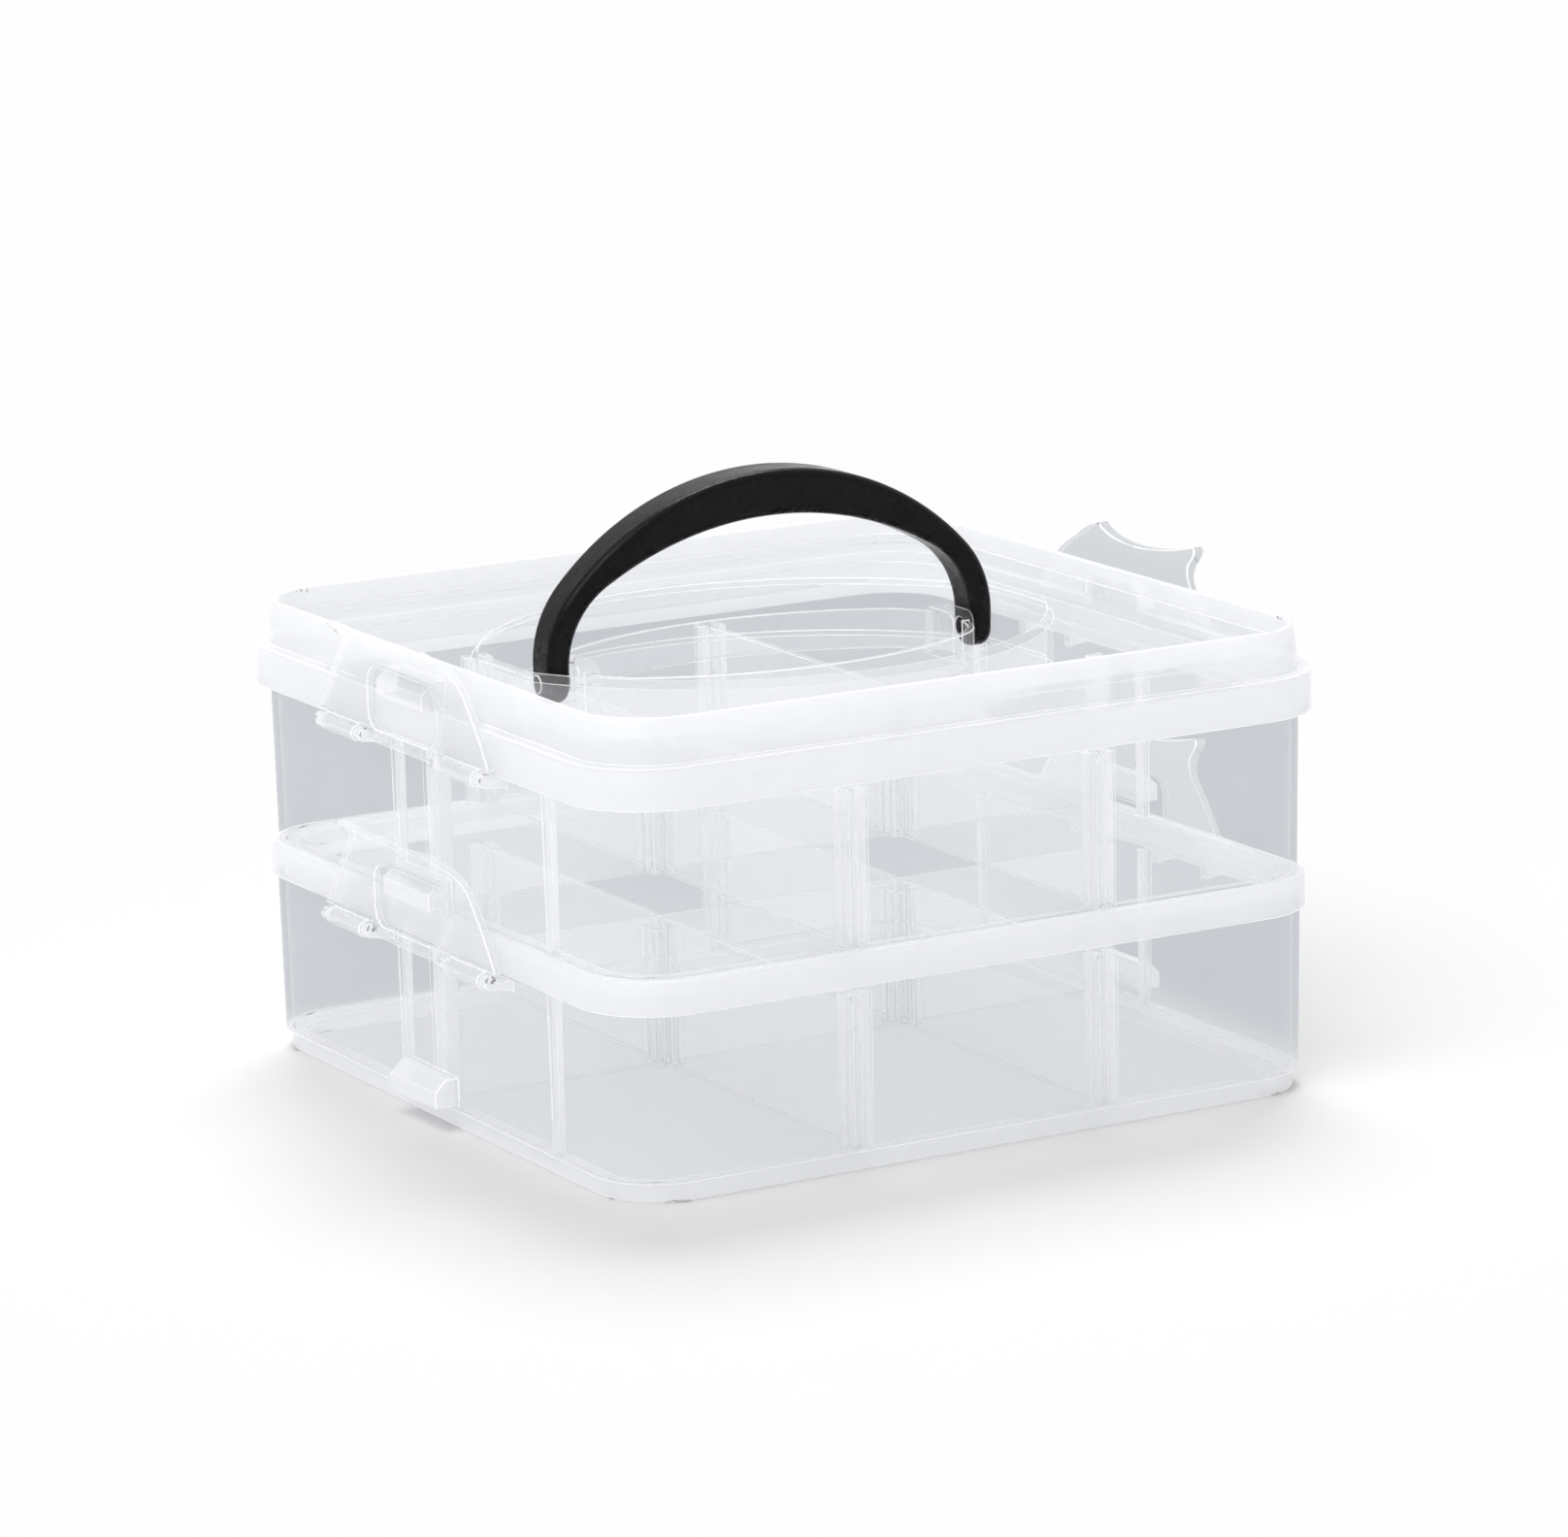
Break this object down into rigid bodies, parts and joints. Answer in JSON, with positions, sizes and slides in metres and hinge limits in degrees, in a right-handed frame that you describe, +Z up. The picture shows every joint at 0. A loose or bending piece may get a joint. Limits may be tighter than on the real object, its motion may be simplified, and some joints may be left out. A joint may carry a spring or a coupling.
{
  "type": "stackable storage box",
  "caption": "Clear stackable storage box: divided trays held together by side latches under a lid with a folding carry handle.",
  "frame": {"origin": "centre of the footprint, on the surface the box stands on", "axes": "+X from one pair of latches to the other, -Y towards the plain front side, +Z up"},
  "size_m": [0.1654, 0.15, 0.1117],
  "materials": {
    "clear_plastic": "gloss",
    "divider_plastic": "gloss",
    "black_plastic": "gloss"
  },
  "bodies": {
    "lower_tray": {"lower_tray": "clear_plastic", "lower_long_divider": "divider_plastic", "lower_short_divider_front_left": "divider_plastic", "lower_short_divider_front_right": "divider_plastic", "lower_short_divider_back_left": "divider_plastic", "lower_short_divider_back_right": "divider_plastic"},
    "upper_tray": {"upper_tray": "clear_plastic", "upper_long_divider": "divider_plastic", "upper_short_divider_front_left": "divider_plastic", "upper_short_divider_front_right": "divider_plastic", "upper_short_divider_back_left": "divider_plastic", "upper_short_divider_back_right": "divider_plastic"},
    "lid": {"lid": "clear_plastic"},
    "carry_handle": {"carry_handle": "black_plastic"},
    "lower_latch_left": {"lower_latch_left": "clear_plastic"},
    "lower_latch_right": {"lower_latch_right": "clear_plastic"},
    "upper_latch_left": {"upper_latch_left": "clear_plastic"},
    "upper_latch_right": {"upper_latch_right": "clear_plastic"}
  },
  "joints": [
    {"name": "upper_tray_lift", "type": "slide", "parent": "lower_tray", "child": "upper_tray", "axis": [0, 0, 1], "range_m": [0, 0.02]},
    {"name": "lid_lift", "type": "slide", "parent": "upper_tray", "child": "lid", "axis": [0, 0, 1], "range_m": [0, 0.02]},
    {"name": "handle_fold", "type": "hinge", "parent": "lid", "child": "carry_handle", "pos_m": [0, 0.0034, 0.077], "axis": [1, 0, 0], "range_deg": [-90, 90]},
    {"name": "lower_latch_left_hinge", "type": "hinge", "parent": "lower_tray", "child": "lower_latch_left", "pos_m": [-0.077, 0, 0.0332], "axis": [0, -1, 0], "range_deg": [0, 110]},
    {"name": "lower_latch_right_hinge", "type": "hinge", "parent": "lower_tray", "child": "lower_latch_right", "pos_m": [0.077, 0, 0.0332], "axis": [0, 1, 0], "range_deg": [0, 110]},
    {"name": "upper_latch_left_hinge", "type": "hinge", "parent": "upper_tray", "child": "upper_latch_left", "pos_m": [-0.077, 0, 0.0696], "axis": [0, -1, 0], "range_deg": [0, 110]},
    {"name": "upper_latch_right_hinge", "type": "hinge", "parent": "upper_tray", "child": "upper_latch_right", "pos_m": [0.077, 0, 0.0696], "axis": [0, 1, 0], "range_deg": [0, 110]}
  ],
  "couplings": [
    {"joint": "lower_latch_left_hinge", "follows": "upper_tray_lift", "rad_per_m": 95.9},
    {"joint": "lower_latch_right_hinge", "follows": "upper_tray_lift", "rad_per_m": 95.9},
    {"joint": "upper_latch_left_hinge", "follows": "lid_lift", "rad_per_m": 95.9},
    {"joint": "upper_latch_right_hinge", "follows": "lid_lift", "rad_per_m": 95.9}
  ]
}
